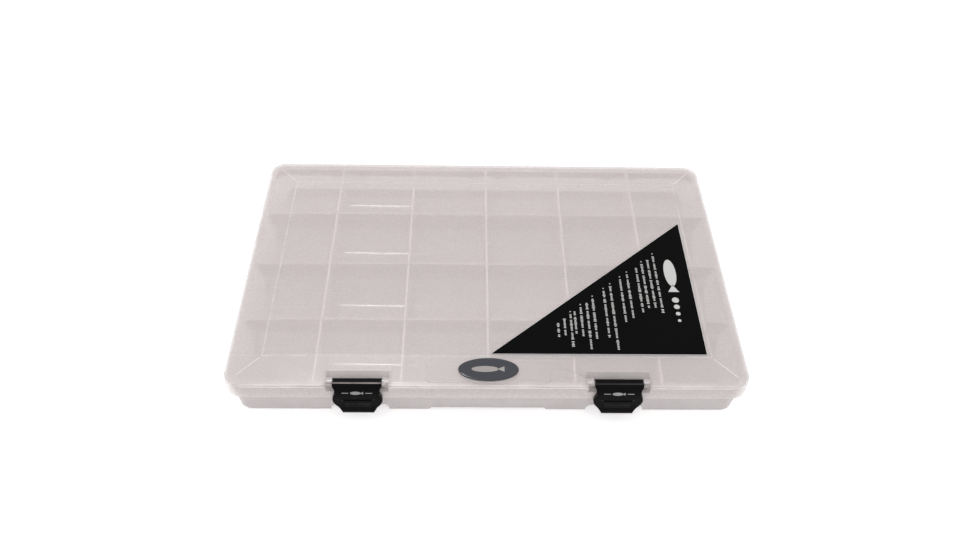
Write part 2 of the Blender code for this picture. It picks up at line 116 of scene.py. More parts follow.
@dataclass(frozen=True)
class Finish:
    """One finish: its colours, its gloss and the scale of its surface texture.

    The colour and the shade are the two ends of its clouds, and the edge is the colour where
    the lightening value is full: scuffed edges, and on some pieces painted highlights and
    painted light. The roughness runs from the first value to the second.
    """

    name: str
    slot: str
    grain: Grain
    colour: Rgb
    shade: Rgb
    edge: Rgb
    roughness: tuple[float, float]
    grain_scale: float = 900.0
    bump: float = 0.05
    metallic: float = 0.0
    alpha: float = 1.0
    specular: float = 0.5
    scuffs: float = 0.3

    def material(self) -> bpy.types.Material:
        """Return the node material of this finish, made on its first use.

        Returns:
            The material, with colour, wear, roughness and bump from procedural nodes.
        """
        found = bpy.data.materials.get(self.name)
        if found:
            return found
        made = bpy.data.materials.new(self.name)
        made.use_nodes = True
        tree = made.node_tree
        shader = tree.nodes["Principled BSDF"]
        shader.inputs["Metallic"].default_value = self.metallic
        shader.inputs["Specular IOR Level"].default_value = self.specular
        shader.inputs["Alpha"].default_value = self.alpha
        place = self.stretched_place(tree)
        fine = self.noise(tree, place, Pattern(self.grain_scale, FINE_DETAIL))
        scratch = self.scratches(tree)
        self.link_colour(tree, shader, place)
        self.link_roughness(tree, shader, fine, scratch)
        self.link_bump(tree, shader, place, fine, scratch)
        return made

    def stretched_place(self, tree: bpy.types.NodeTree) -> bpy.types.NodeSocket:
        """Return object coordinates, stretched as the grain needs.

        Args:
            tree: The material's node tree.

        Returns:
            The mapped coordinates.
        """
        place = tree.nodes.new("ShaderNodeTexCoord")
        mapping = tree.nodes.new("ShaderNodeMapping")
        mapping.inputs["Scale"].default_value = STRETCH.get(self.grain, EVEN)
        tree.links.new(place.outputs["Object"], mapping.inputs["Vector"])
        return mapping.outputs["Vector"]

    @staticmethod
    def noise(tree: bpy.types.NodeTree, place: bpy.types.NodeSocket,
              pattern: Pattern) -> bpy.types.NodeSocket:
        """Add a noise pattern.

        Args:
            tree: The material's node tree.
            place: Where the pattern reads its coordinates.
            pattern: Its scale and detail.

        Returns:
            The pattern's value.
        """
        made = tree.nodes.new("ShaderNodeTexNoise")
        made.inputs["Scale"].default_value = pattern.scale
        made.inputs["Detail"].default_value = pattern.detail
        tree.links.new(place, made.inputs["Vector"])
        return made.outputs["Fac"]

    @staticmethod
    def remap(tree: bpy.types.NodeTree, value: bpy.types.NodeSocket, low: float, high: float,
              to_low: float, to_high: float) -> bpy.types.NodeSocket:
        """Map a value from one range to another, clamped.

        Args:
            tree: The material's node tree.
            value: The value to map.
            low: The input that gives to_low.
            high: The input that gives to_high.
            to_low: The least result.
            to_high: The most result.

        Returns:
            The mapped value.
        """
        scale = tree.nodes.new("ShaderNodeMapRange")
        scale.inputs["From Min"].default_value = low
        scale.inputs["From Max"].default_value = high
        scale.inputs["To Min"].default_value = to_low
        scale.inputs["To Max"].default_value = to_high
        tree.links.new(value, scale.inputs["Value"])
        return scale.outputs["Result"]

    @staticmethod
    def combine(tree: bpy.types.NodeTree, operation: str, first: bpy.types.NodeSocket,
                second: bpy.types.NodeSocket | float) -> bpy.types.NodeSocket:
        """Combine two values.

        Args:
            tree: The material's node tree.
            operation: The name of the operation, such as ADD.
            first: The first value.
            second: The second value, a socket or a number.

        Returns:
            The result.
        """
        node = tree.nodes.new("ShaderNodeMath")
        node.operation = operation
        tree.links.new(first, node.inputs[0])
        if isinstance(second, (int, float)):
            node.inputs[1].default_value = second
        else:
            tree.links.new(second, node.inputs[1])
        return node.outputs[0]

    def scratches(self, tree: bpy.types.NodeTree) -> bpy.types.NodeSocket:
        """Add sparse hairline scuffs in two directions.

        Args:
            tree: The material's node tree.

        Returns:
            A value that is one on a scuff and zero elsewhere.
        """
        lines = []
        for turn, scale in SCUFF_SETS:
            place = tree.nodes.new("ShaderNodeTexCoord")
            mapping = tree.nodes.new("ShaderNodeMapping")
            mapping.inputs["Rotation"].default_value = (0.0, 0.0, turn)
            mapping.inputs["Scale"].default_value = scale
            tree.links.new(place.outputs["Object"], mapping.inputs["Vector"])
            hair = self.noise(tree, mapping.outputs["Vector"], HAIRS)
            lines.append(self.remap(tree, hair, *SCUFF_BAND))
        return self.combine(tree, "MAXIMUM", lines[0], lines[1])

    def link_colour(self, tree: bpy.types.NodeTree, shader: bpy.types.Node,
                    place: bpy.types.NodeSocket) -> None:
        """Give the shader a cloudy base colour that lightens on scuffed edges and painted
        highlights.

        Args:
            tree: The material's node tree.
            shader: The Principled node.
            place: The mapped coordinates.
        """
        cloud = self.noise(tree, place, CLOUDS)
        tint = tree.nodes.new("ShaderNodeValToRGB")
        for stop, at, rgb in zip(tint.color_ramp.elements, CLOUD_BAND, (self.shade, self.colour)):
            stop.position = at
            stop.color = (*rgb, 1.0)
        tree.links.new(cloud, tint.inputs["Fac"])
        highlight_and_wear = tree.nodes.new("ShaderNodeAttribute")
        highlight_and_wear.attribute_name = WEAR_AND_HIGHLIGHT
        patchy = self.remap(tree, self.noise(tree, place, PATCHES), *PATCH_BAND)
        amount = self.combine(tree, "MULTIPLY", patchy, highlight_and_wear.outputs["Fac"])
        mix = tree.nodes.new("ShaderNodeMix")
        mix.data_type = "RGBA"
        colour_in = [s for s in mix.inputs if s.type == "RGBA"]
        colour_out = [s for s in mix.outputs if s.type == "RGBA"][0]
        colour_in[1].default_value = (*self.edge, 1.0)
        tree.links.new(amount, mix.inputs[0])
        tree.links.new(tint.outputs["Color"], colour_in[0])
        tree.links.new(colour_out, shader.inputs["Base Color"])

    def link_roughness(self, tree: bpy.types.NodeTree, shader: bpy.types.Node,
                       fine: bpy.types.NodeSocket, scratch: bpy.types.NodeSocket) -> None:
        """Give the shader a fine-grained roughness that rises on scuffs.

        Args:
            tree: The material's node tree.
            shader: The Principled node.
            fine: The fine grain's value.
            scratch: The scuffs' value.
        """
        gloss = self.remap(tree, fine, *GLOSS_BAND, *self.roughness)
        rise = self.combine(tree, "MULTIPLY", scratch, self.scuffs)
        tree.links.new(self.combine(tree, "ADD", gloss, rise), shader.inputs["Roughness"])

    def link_bump(self, tree: bpy.types.NodeTree, shader: bpy.types.Node,
                  place: bpy.types.NodeSocket, fine: bpy.types.NodeSocket,
                  scratch: bpy.types.NodeSocket) -> None:
        """Give the shader its grain, a slight waviness and shallow scuffs.

        Args:
            tree: The material's node tree.
            shader: The Principled node.
            place: The mapped coordinates.
            fine: The fine grain's value.
            scratch: The scuffs' value.
        """
        wavy = self.combine(tree, "MULTIPLY", self.noise(tree, place, WAVES), WAVE_SHARE)
        height = self.combine(tree, "ADD", self.combine(tree, "ADD", fine, wavy), scratch)
        bump = tree.nodes.new("ShaderNodeBump")
        bump.inputs["Strength"].default_value = self.bump
        bump.inputs["Distance"].default_value = BUMP_DEPTH
        tree.links.new(height, bump.inputs["Height"])
        tree.links.new(bump.outputs["Normal"], shader.inputs["Normal"])


# The frosted finishes' edge colours are nearly white: on rounded edges, creases, the panel step,
# the hips and the wall tops they paint highlights, and on the tray's front and the pocket ramps
# painted light.
FROSTED_LID = Finish("frosted_lid", "clear_plastic", Grain.FROSTED, (0.74, 0.668, 0.664),
                     (0.725, 0.655, 0.651), (0.97, 0.93, 0.92), (0.22, 0.32), alpha=0.38,
                     bump=0.012)
# The lid's upright faces: a darker, more opaque copy of the lid's plastic, painted shade on the
# sides.
SHADED_SKIRT = Finish("shaded_skirt", "clear_plastic", Grain.FROSTED, (0.56, 0.505, 0.503),
                       (0.548, 0.495, 0.493), (0.90, 0.86, 0.85), (0.22, 0.32), alpha=0.66,
                       bump=0.012)
FROSTED_TRAY = Finish("frosted_tray", "clear_plastic", Grain.FROSTED, (0.455, 0.411, 0.411),
                      (0.445, 0.402, 0.402), (0.95, 0.90, 0.89), (0.07, 0.13), alpha=0.60,
                      bump=0.012)
FROSTED_DIVIDER = Finish("frosted_divider", "divider_plastic", Grain.FROSTED,
                         (0.97, 0.90, 0.89), (0.95, 0.88, 0.87), (0.98, 0.93, 0.92),
                         (0.14, 0.24), alpha=0.85, bump=0.012)
# The latches' edge colour paints a highlight on their top edges and a sheen on their other edges,
# with scuffing.
BLACK_LATCH = Finish("black_latch", "black_plastic", Grain.LEATHERY, (0.0045, 0.0045, 0.0048),
                     (0.003, 0.003, 0.0033), (0.30, 0.27, 0.26), (0.26, 0.38),
                     grain_scale=1700.0, bump=0.2, specular=0.03)
EMBLEM_GREY = Finish("emblem_grey", "black_plastic", Grain.PRINTED, (0.30, 0.30, 0.31),
                     (0.20, 0.20, 0.21), (0.34, 0.34, 0.35), (0.3, 0.45), specular=0.1)
PIN_STEEL = Finish("drawn_steel", "pin_steel", Grain.DRAWN, (0.62, 0.62, 0.64), (0.5, 0.5, 0.52),
                   (0.75, 0.75, 0.76), (0.18, 0.38), metallic=1.0)
LABEL_BLACK = Finish("label_black", "label_film", Grain.PRINTED, (0.0042, 0.0042, 0.0044),
                     (0.003, 0.003, 0.0032), (0.02, 0.02, 0.02), (0.22, 0.3),
                     bump=0.02, specular=0.01)
LABEL_BACKING = Finish("label_backing", "label_film", Grain.PRINTED, (0.66, 0.64, 0.63),
                       (0.60, 0.58, 0.57), (0.7, 0.68, 0.67), (0.45, 0.6))
LABEL_INK = Finish("label_ink", "label_film", Grain.PRINTED, (0.48, 0.48, 0.47),
                   (0.34, 0.34, 0.33), (0.5, 0.5, 0.5), (0.4, 0.55), specular=0.1)
BADGE_RESIN = Finish("grey_resin", "badge_resin", Grain.POLISHED, (0.052, 0.054, 0.062),
                     (0.045, 0.047, 0.055), (0.12, 0.12, 0.13), (0.12, 0.22), specular=0.15)
BADGE_INK = Finish("badge_ink", "badge_resin", Grain.PRINTED, (0.36, 0.33, 0.32),
                   (0.26, 0.24, 0.23), (0.4, 0.37, 0.36), (0.3, 0.4), specular=0.1)


# ------------------------------------------------------------- mesh helpers


def solid_copy(node: str) -> bmesh.types.BMesh:
    """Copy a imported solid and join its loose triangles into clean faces.

    Args:
        node: The solid's name.

    Returns:
        The merged copy.
    """
    bm = bmesh.new()
    bm.from_mesh(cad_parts[node].data)
    bmesh.ops.remove_doubles(bm, verts=bm.verts, dist=MERGE)
    bmesh.ops.dissolve_limit(bm, angle_limit=math.radians(FLAT_TURN), verts=bm.verts,
                             edges=bm.edges)
    return bm


def round_edges(bm: bmesh.types.BMesh, edges: list[bmesh.types.BMEdge], width: float,
                segments: int, wear_and_highlight: float = 1.0) -> None:
    """Round some edges, and lighten the new strips: scuffing, and on the frosted plastic a
    painted highlight.

    Args:
        bm: The mesh to change.
        edges: The edges to round.
        width: How far the rounding reaches onto each face.
        segments: The number of strips.
        wear_and_highlight: How lightened the new strips look, from 0 to 1.
    """
    highlight_and_wear = bm.loops.layers.float.get(WEAR_AND_HIGHLIGHT) or bm.loops.layers.float.new(WEAR_AND_HIGHLIGHT)
    made = bmesh.ops.bevel(bm, geom=edges, offset=width, offset_type="OFFSET", segments=segments,
                           profile=0.5, affect="EDGES", clamp_overlap=False, material=-1)
    for face in made["faces"]:
        for loop in face.loops:
            loop[highlight_and_wear] = wear_and_highlight


def sharp_edges(bm: bmesh.types.BMesh, width: float,
                angle: float = 28.0) -> list[bmesh.types.BMEdge]:
    """List the sharp edges that have room for a rounding.

    Args:
        bm: The mesh to look at.
        width: The rounding's width.
        angle: The least turn between two faces, in degrees.

    Returns:
        The edges.
    """
    tight = {v for e in bm.edges if e.calc_length() < ROUNDING_ROOM * width for v in e.verts}
    least = math.radians(angle)
    return [e for e in bm.edges if e.is_manifold and e.calc_face_angle() > least
            and not tight.intersection(e.verts)]


def along(edge: bmesh.types.BMEdge, axis: Vector) -> bool:
    """Tell whether an edge runs along an axis."""
    return abs((edge.verts[1].co - edge.verts[0].co).normalized().dot(axis)) > PARALLEL


def slab(outline: list[Vector], low: float, high: float) -> bmesh.types.BMesh:
    """Extrude a flat outline between two heights.

    Args:
        outline: The outline's corners, in order.
        low: The underside's height.
        high: The top's height.

    Returns:
        The closed slab.
    """
    bm = bmesh.new()
    ring = [bm.verts.new((point.x, point.y, low)) for point in outline]
    face = bm.faces.new(ring)
    grown = bmesh.ops.extrude_face_region(bm, geom=[face])
    moved = [item for item in grown["geom"] if isinstance(item, bmesh.types.BMVert)]
    bmesh.ops.translate(bm, verts=moved, vec=(0.0, 0.0, high - low))
    bmesh.ops.recalc_face_normals(bm, faces=bm.faces)
    return bm


def make_piece(name: str, bm: bmesh.types.BMesh, finish: Finish, body: str,
               nodes: tuple[str, ...] = (), second: Finish | None = None) -> bpy.types.Object:
    """Turn a mesh into a dressed piece that moves with a body.

    Args:
        name: The piece's name.
        bm: Its mesh, freed here.
        finish: Its finish.
        body: The body that it moves with.
        nodes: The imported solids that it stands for.
        second: The finish of the faces with material index 1, if any.

    Returns:
        The new object.
    """
    if not bm.loops.layers.float.get(WEAR_AND_HIGHLIGHT):
        bm.loops.layers.float.new(WEAR_AND_HIGHLIGHT)
    mesh = bpy.data.meshes.new(name)
    bm.to_mesh(mesh)
    bm.free()
    mesh.shade_smooth()
    mesh.set_sharp_from_angle(angle=math.radians(CRISP_TURN))
    mesh.materials.append(finish.material())
    if second:
        mesh.materials.append(second.material())
    obj = bpy.data.objects.new(name, mesh)
    bpy.context.scene.collection.objects.link(obj)
    level = obj.modifiers.new("flat_faces", "WEIGHTED_NORMAL")
    level.keep_sharp = True
    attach(obj, body)
    if nodes:
        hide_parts(*nodes)
    LOG.info("%s: %d faces, rides on %s", name, len(mesh.polygons), body)
    return obj


# ---------------------------------------------------------------- fish mark


@dataclass
class FishMark:
    """A plain fish outline, used as the neutral mark on the label, badge and latches.

    The body and the tail are each given as half lengths and half heights, in shares of the
    mark's length and height, with the share of the length that they stand off the middle.
    """

    length: float
    height: float
    thickness: float
    sides: int = 28
    body: Triple = (0.40, 0.5, -0.10)
    tail: Triple = (0.14, 0.52, 0.40)

    def mesh(self, place: Matrix) -> bmesh.types.BMesh:
        """Build the mark as a thin solid.

        Args:
            place: Turns and moves it from its flat rest place, nose towards -X.

        Returns:
            The mesh of the body and the tail.
        """
        bm = bmesh.new()
        for sides, turn, (long, tall, shift) in ((self.sides, 0, self.body), (3, 90, self.tail)):
            made = bmesh.ops.create_circle(bm, cap_ends=True, segments=sides, radius=1.0)
            around = Matrix.Rotation(math.radians(turn), 3, "Z")
            bmesh.ops.rotate(bm, verts=made["verts"], matrix=around)
            size = Vector((self.length * long, self.height * tall, 1.0))
            bmesh.ops.scale(bm, verts=made["verts"], vec=size)
            bmesh.ops.translate(bm, verts=made["verts"], vec=(self.length * shift, 0.0, 0.0))
        grown = bmesh.ops.extrude_face_region(bm, geom=list(bm.faces))
        moved = [item for item in grown["geom"] if isinstance(item, bmesh.types.BMVert)]
        bmesh.ops.translate(bm, verts=moved, vec=(0.0, 0.0, self.thickness))
        bmesh.ops.transform(bm, matrix=place, verts=bm.verts)
        bmesh.ops.recalc_face_normals(bm, faces=bm.faces)
        return bm


# ------------------------------------------------------------ sub-assemblies


@dataclass
class Tray:
    """The base moulding with its rows, ribs, catches and knuckles."""

    edge: float = 0.25 * MM
    # The wall tops: their least height, their least upward tilt, and how strong their painted
    # highlight is.
    top_above: float = 24.0 * MM
    top_tilt: float = 0.9
    wall_top_highlight: float = 0.9
    # The front wall's outside: its most Y, its most tilt along Y, and how much painted light
    # lightens it.
    front_before: float = -100.0 * MM
    front_tilt: float = -0.5
    front_painted_light: float = 0.15

    def build(self) -> None:
        """Round the tray's edges, paint a highlight on its wall tops and painted light on its
        front, and dress it.
        """
        bm = solid_copy("base_tray")
        # Every rounded edge is fully lightened: a painted highlight line.
        round_edges(bm, sharp_edges(bm, self.edge), self.edge, 2)
        bm.normal_update()
        highlight_and_wear = bm.loops.layers.float[WEAR_AND_HIGHLIGHT]
        for face in bm.faces:
            middle = face.calc_center_median()
            top = face.normal.z > self.top_tilt and middle.z > self.top_above
            front = face.normal.y < self.front_tilt and middle.y < self.front_before
            # Up-facing wall tops get a painted highlight; the front wall's outside gets painted
            # light.
            for loop in face.loops if top or front else ():
                loop[highlight_and_wear] = self.front_painted_light if front else self.wall_top_highlight
        make_piece("tray_moulding", bm, FROSTED_TRAY, "tray", ("base_tray",))


@dataclass
class DividerSet:
    """The lift-out dividers, each its own plate."""

    edge: float = 0.2 * MM

    def build(self) -> None:
        """Round and dress every divider."""
        for node in sorted(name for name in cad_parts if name.startswith("divider_")):
            bm = solid_copy(node)
            # Every rounded edge is fully lightened: a painted highlight line.
            round_edges(bm, sharp_edges(bm, self.edge), self.edge, 2)
            make_piece(f"{node}_plate", bm, FROSTED_DIVIDER, "tray", (node,))


@dataclass
class Lid:
    """The lid moulding with its shoulder, panel, pockets and knuckles."""

    edge: float = 0.25 * MM
    # A crease: its rounding, its least length, its turn in degrees, its least height, and
    # the least tilt along Z of its steeper and its flatter face.
    crease: float = 0.4 * MM
    crease_length: float = 3.0 * MM
    crease_turn: tuple[float, float] = (1.2, 100.0)
    crease_foot: float = 31.0 * MM
    crease_tilt: tuple[float, float] = (-0.2, 0.3)
    # Faces that look up or down less than this have the skirt's finish: painted shade, a darker
    # and more opaque copy of the lid's plastic.
    skirt_tilt: float = 0.5
    # The pocket ramps: their most tilt along Y, their tilt along Z, and how much painted light
    # lightens them against their shade.
    ramp_lean: float = -0.3
    ramp_tilt: tuple[float, float] = (0.3, 0.9)
    ramp_painted_light: float = 0.6
    # The step round the panel: its tilt along Z, its least height, and how strong its painted
    # highlight is.
    step_tilt: tuple[float, float] = (0.5, 0.93)
    step_foot: float = 33.2 * MM
    step_highlight: float = 1.0
    # A hip's inner and outer end at the right rear corner, in millimetres.
    hip: tuple[Triple, Triple] = ((155.8, 91.3, 33.27), (169.5, 106.3, 32.85))
    hip_width: float = 0.7 * MM
    hip_thick: float = 0.22 * MM
    # How lightened the hip strips are: a painted highlight along each hip crease.
    hip_highlight: float = 1.0

    def build(self) -> None:
        """Round the lid's creases and edges, paint highlights on them and on the panel step,
        paint light on the pocket ramps, give the upright faces the skirt's finish, and dress it.
        """
        bm = solid_copy("lid")
        creases = self.creases(bm)
        LOG.info("lid: %d creases over the shoulder and panel", len(creases))
        # The creases and the other rounded edges are fully lightened: painted highlight lines.
        round_edges(bm, creases, self.crease, 2)
        round_edges(bm, sharp_edges(bm, self.edge), self.edge, 2)
        bm.normal_update()
        highlight_and_wear = bm.loops.layers.float[WEAR_AND_HIGHLIGHT]
        for face in bm.faces:
            tilt = face.normal.z
            # Upright faces take the skirt's darker copy: painted shade.
            face.material_index = int(abs(tilt) < self.skirt_tilt)
            ramp = self.ramp_tilt[0] < tilt < self.ramp_tilt[1]
            ramp = ramp and face.normal.y < self.ramp_lean
            step = self.step_tilt[0] < tilt < self.step_tilt[1]
            step = step and face.calc_center_median().z > self.step_foot
            # The pocket ramps get painted light, the panel step a painted highlight.
            for loop in face.loops if ramp or step else ():
                loop[highlight_and_wear] = self.step_highlight if step else self.ramp_painted_light
        self.add_hips(bm)
        make_piece("lid_moulding", bm, FROSTED_LID, "lid", ("lid",), SHADED_SKIRT)

    def add_hips(self, bm: bmesh.types.BMesh) -> None:
        """Add a faint raised strip from each panel corner down to the lid's corner, fully
        lightened as a painted highlight along the hip crease.

        Args:
            bm: The lid's mesh.
        """
        highlight_and_wear = bm.loops.layers.float[WEAR_AND_HIGHLIGHT]
        for sign_x, sign_y in ((-1, -1), (1, -1), (1, 1), (-1, 1)):
            inner, outer = (Vector((x * sign_x, y * sign_y, z)) * MM for x, y, z in self.hip)
            run = outer - inner
            made = bmesh.ops.create_cube(bm, size=1.0)
            size = (run.length, self.hip_width, self.hip_thick)
            bmesh.ops.scale(bm, verts=made["verts"], vec=size)
            place = Matrix.Translation((inner + outer) / 2)
            place = place @ run.to_track_quat("X", "Z").to_matrix().to_4x4()
            bmesh.ops.transform(bm, matrix=place, verts=made["verts"])
            for loop in (loop for vert in made["verts"] for loop in vert.link_loops):
                loop[highlight_and_wear] = self.hip_highlight

    def creases(self, bm: bmesh.types.BMesh) -> list[bmesh.types.BMEdge]:
        """List the long edges of the shoulder and the raised panel, on the outside.

        Args:
            bm: The lid's mesh.

        Returns:
            The edges that catch the light as thin lines.
        """
        least, most = (math.radians(turn) for turn in self.crease_turn)
        found = []
        for edge in bm.edges:
            if not edge.is_manifold or edge.calc_length() <= self.crease_length:
                continue
            high = all(v.co.z > self.crease_foot for v in edge.verts)
            low_tilt, high_tilt = sorted(face.normal.z for face in edge.link_faces)
            outside = low_tilt > self.crease_tilt[0] and high_tilt > self.crease_tilt[1]
            turned = least < edge.calc_face_angle() < most and edge.is_convex
            if high and outside and turned:
                found.append(edge)
        return found


@dataclass
class Latch:
    """One front latch with its rounded bend, pull lip and emblem."""

    side: str
    # How strong the painted highlight on the latch's top edge is.
    top_edge_highlight: float
    # The plain edges: their rounding, and how much scuffing and painted sheen lightens them.
    edge: float = 0.18 * MM
    edge_scuff_and_sheen: float = 0.16
    # The bend: its rounding, how far it reaches down and back, and its least turn in degrees.
    bend: float = 0.55 * MM
    bend_depth: float = 4 * MM
    bend_reach: float = 8 * MM
    bend_turn: float = 12.0
    # How far below the top an edge still counts as the top edge.
    top_edge_depth: float = 0.3 * MM
    # The sides' corners: their rounding and their least turn in degrees.
    corner: float = 0.8 * MM
    corner_turn: float = 6.0
    # The emblem: its mark, the Y and Z of its middle, and its lean back in degrees.
    emblem: FishMark = field(default_factory=lambda: FishMark(9 * MM, 2.5 * MM, 0.12 * MM))
    emblem_at: tuple[float, float] = (-116.8 * MM, 27.6 * MM)
    emblem_lean: float = 20.3
    # A dash beside the emblem: its size, its gap to the mark and its middle's rise.
    dash: Triple = (4.5 * MM, 0.55 * MM, 0.2 * MM)
    dash_gap: float = 1.2 * MM
    dash_rise: float = 0.02 * MM
    # The finger ridges: their size, their rounding, and the Y and Z of each in millimetres.
    ridge: Triple = (17.0 * MM, 0.5 * MM, 0.55 * MM)
    ridge_edge: float = 0.15 * MM
    ridges_at: tuple = ((-118.0, 18.0), (-118.05, 16.5), (-118.25, 15.0))

    @property
    def node(self) -> str:
        """Return the name of the latch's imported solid."""
        return f"latch_{self.side}"

    def build(self) -> None:
        """Round the latch, paint a highlight on its top edge, dress it and add its emblem."""
        bm = solid_copy(self.node)
        low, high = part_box(self.node)
        foot = high[2] - self.bend_depth
        back = low[1] + self.bend_reach
        bends = [e for e in bm.edges if along(e, Vector((1, 0, 0)))
                 and all(v.co.z > foot and v.co.y < back for v in e.verts)
                 and e.calc_face_angle(0.0) > math.radians(self.bend_turn)]
        first = [e for e in bends if all(v.co.z > high[2] - self.top_edge_depth for v in e.verts)]
        round_edges(bm, [e for e in bends if e not in first], self.bend, 4, 0.0)
        # The top edge's strips carry a painted highlight.
        round_edges(bm, [e for e in first if e.is_valid], self.bend, 4, self.top_edge_highlight)
        sides = [e for e in bm.edges if along(e, Vector((0, 1, 0)))
                 and e.calc_face_angle(0.0) > math.radians(self.corner_turn)]
        # The side corners and plain edges get scuffing with a painted sheen.
        round_edges(bm, sides, self.corner, 3, self.edge_scuff_and_sheen)
        round_edges(bm, sharp_edges(bm, self.edge), self.edge, 2, self.edge_scuff_and_sheen)
        self.add_ridges(bm, (low[0] + high[0]) / 2)
        make_piece(f"{self.node}_moulding", bm, BLACK_LATCH, self.node, (self.node,))
        self.build_emblem()

    def add_ridges(self, bm: bmesh.types.BMesh, centre: float) -> None:
        """Add the fine finger ridges across the pull lip.

        Args:
            bm: The latch's mesh.
            centre: The X of the latch's middle.
        """
        for y, z in self.ridges_at:
            made = bmesh.ops.create_cube(bm, size=1.0)
            bmesh.ops.scale(bm, verts=made["verts"], vec=self.ridge)
            bmesh.ops.translate(bm, verts=made["verts"], vec=(centre, y * MM, z * MM))
            edges = [edge for vert in made["verts"] for edge in vert.link_edges]
            edges = list(dict.fromkeys(edges))
            round_edges(bm, edges, self.ridge_edge, 2, self.edge_scuff_and_sheen)

    def build_emblem(self) -> None:
        """Add the fish mark between two dashes on the latch's face."""
        low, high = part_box(self.node)
        centre = (low[0] + high[0]) / 2
        stand = Matrix.Translation((centre, *self.emblem_at))
        stand = stand @ Matrix.Rotation(math.radians(90 - self.emblem_lean), 4, "X")
        bm = self.emblem.mesh(stand)
        for sign in (-1, 1):
            middle = sign * (self.emblem.length / 2 + self.dash_gap + self.dash[0] / 2)
            made = bmesh.ops.create_cube(bm, size=1.0)
            bmesh.ops.scale(bm, verts=made["verts"], vec=self.dash)
            shift = stand @ Matrix.Translation((middle, 0, self.dash_rise))
            bmesh.ops.transform(bm, matrix=shift, verts=made["verts"])
        make_piece(f"{self.node}_emblem", bm, EMBLEM_GREY, self.node)


@dataclass
class PinSet:
    """The hinge pins and the latch pins."""

    edge: float = 0.25 * MM

    def build(self) -> None:
        """Round the pins' ends and dress them."""
        for node in sorted(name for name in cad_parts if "_pin_" in name):
            body = "lid" if node.startswith("latch") else "tray"
            bm = solid_copy(node)
            ends = [e for e in bm.edges if not along(e, Vector((1, 0, 0)))]
            round_edges(bm, ends, self.edge, 3)
            make_piece(f"{node}_rod", bm, PIN_STEEL, body, (node,))


